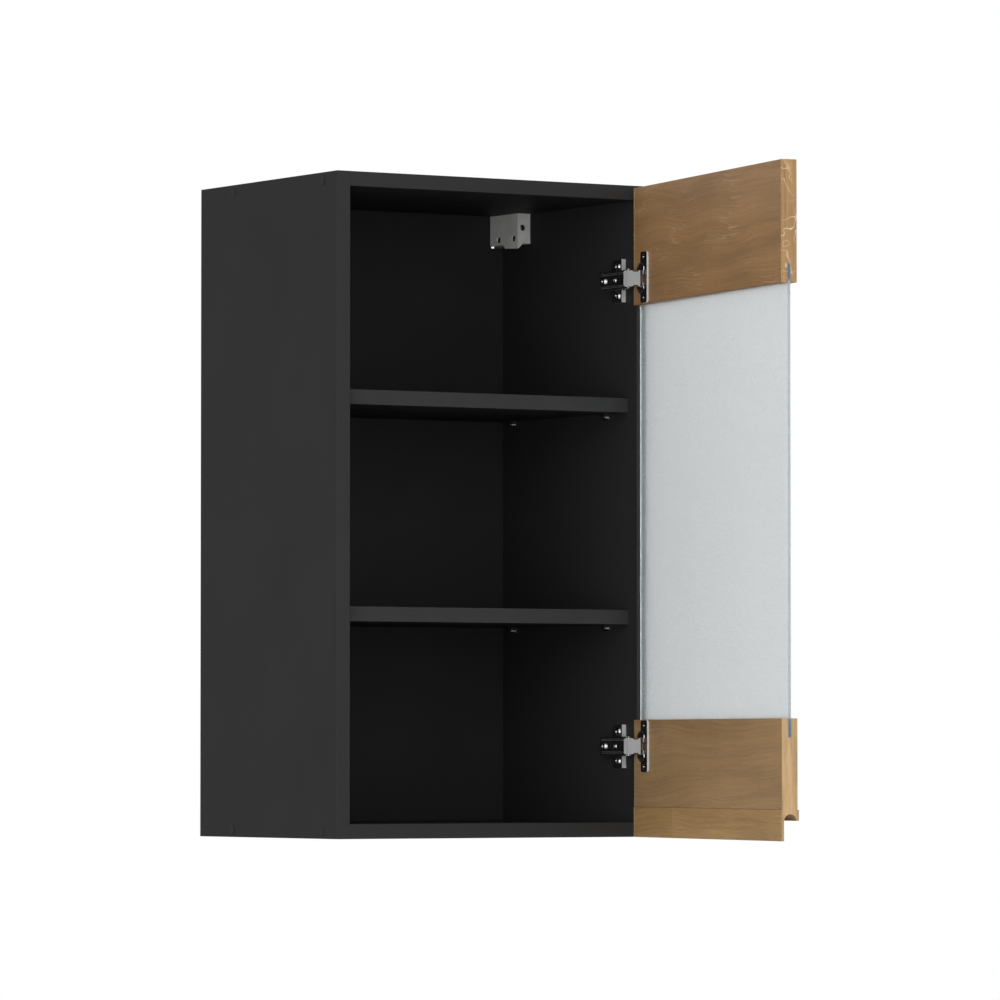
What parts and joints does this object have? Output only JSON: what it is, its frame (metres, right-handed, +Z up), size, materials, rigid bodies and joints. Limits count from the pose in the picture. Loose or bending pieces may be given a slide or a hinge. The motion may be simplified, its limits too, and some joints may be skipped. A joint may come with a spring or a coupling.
{
  "type": "wall cabinet",
  "caption": "Dark hanging wall cabinet with shelves and an oak-framed frosted glass door on concealed cup hinges, shown open.",
  "frame": {"origin": "middle of the top panel's rear edge, on the wall plane and at half the panel's thickness", "axes": "+X to the cabinet's right seen from the front, +Y into the wall, +Z up"},
  "size_m": [0.4012, 0.6982, 0.72],
  "materials": {
    "dark_board": "dark grey laminated chipboard, satin",
    "dark_back": "thin dark laminated fibreboard, satin",
    "edge_band": "dark grey edge banding, satin",
    "beech_dowel": "plain beech",
    "cap_plastic": "dark grey plastic, satin",
    "hanger_plastic": "mid grey moulded plastic",
    "zinc_steel": "zinc plated pressed steel",
    "oak": "oak veneer, satin lacquer",
    "frosted_glass": "satin frosted safety glass",
    "nickel_plate": "nickel plated pressed steel",
    "nickel_link": "nickel plated bent steel",
    "support_steel": "nickel plated steel",
    "screw_steel": "nickel plated screws and pins"
  },
  "bodies": {
    "carcass": {"side_left": "dark_board", "side_right": "dark_board", "top_panel": "dark_board", "bottom_panel": "dark_board", "back_panel": "dark_back", "shelf_upper": "dark_board", "shelf_lower": "dark_board", "edge_band_left": "edge_band", "edge_band_right": "edge_band", "edge_band_top": "edge_band", "edge_band_bottom": "edge_band", "edge_band_shelf_upper": "edge_band", "edge_band_shelf_lower": "edge_band", "corner_screws_left": "screw_steel", "corner_screws_right": "screw_steel", "dowels_left": "beech_dowel", "dowels_right": "beech_dowel", "screw_caps_left": "cap_plastic", "screw_caps_right": "cap_plastic", "shelf_supports_upper": "support_steel", "shelf_supports_lower": "support_steel", "hanger_cover_left": "hanger_plastic", "hanger_cover_right": "hanger_plastic", "hanger_bracket_left": "zinc_steel", "hanger_bracket_right": "zinc_steel", "hanger_hook_left": "zinc_steel", "hanger_hook_right": "zinc_steel", "hanger_screws_left": "screw_steel", "hanger_screws_right": "screw_steel", "hinge_plate_upper": "nickel_plate", "hinge_plate_lower": "nickel_plate", "plate_screws_upper": "screw_steel", "plate_screws_lower": "screw_steel", "hinge_arm_upper": "nickel_plate", "hinge_arm_lower": "nickel_plate", "arm_screws_upper": "screw_steel", "arm_screws_lower": "screw_steel", "arm_pins_upper": "screw_steel", "arm_pins_lower": "screw_steel"},
    "outer_links": {"outer_link_upper": "nickel_link", "outer_link_lower": "nickel_link"},
    "door": {"hinge_cup_upper": "nickel_plate", "hinge_cup_lower": "nickel_plate", "cup_pins_upper": "screw_steel", "cup_pins_lower": "screw_steel", "cup_screws_upper": "screw_steel", "cup_screws_lower": "screw_steel", "door_rail_top": "oak", "door_rail_bottom": "oak", "handle_strip": "oak", "glass_pane": "frosted_glass"},
    "inner_links": {"inner_link_upper": "nickel_link", "inner_link_lower": "nickel_link"}
  },
  "joints": [
    {"name": "door_hinge", "type": "hinge", "parent": "outer_links", "child": "door", "pos_m": [0.1807, -0.31398, -0.354], "axis": [0, 0, 1], "range_deg": [-113.6, 21.3]},
    {"name": "outer_link_hinge", "type": "hinge", "parent": "carcass", "child": "outer_links", "pos_m": [0.1728, -0.2966, -0.354], "axis": [0, 0, 1], "range_deg": [-6.4, 33.7]},
    {"name": "inner_link_hinge", "type": "hinge", "parent": "carcass", "child": "inner_links", "pos_m": [0.1678, -0.3085, -0.354], "axis": [0, 0, 1], "range_deg": [-6.5, 34.1]}
  ],
  "couplings": [
    {"joint": "outer_link_hinge", "follows": "door_hinge", "ratio": -0.29578},
    {"joint": "inner_link_hinge", "follows": "door_hinge", "ratio": -0.2993}
  ]
}
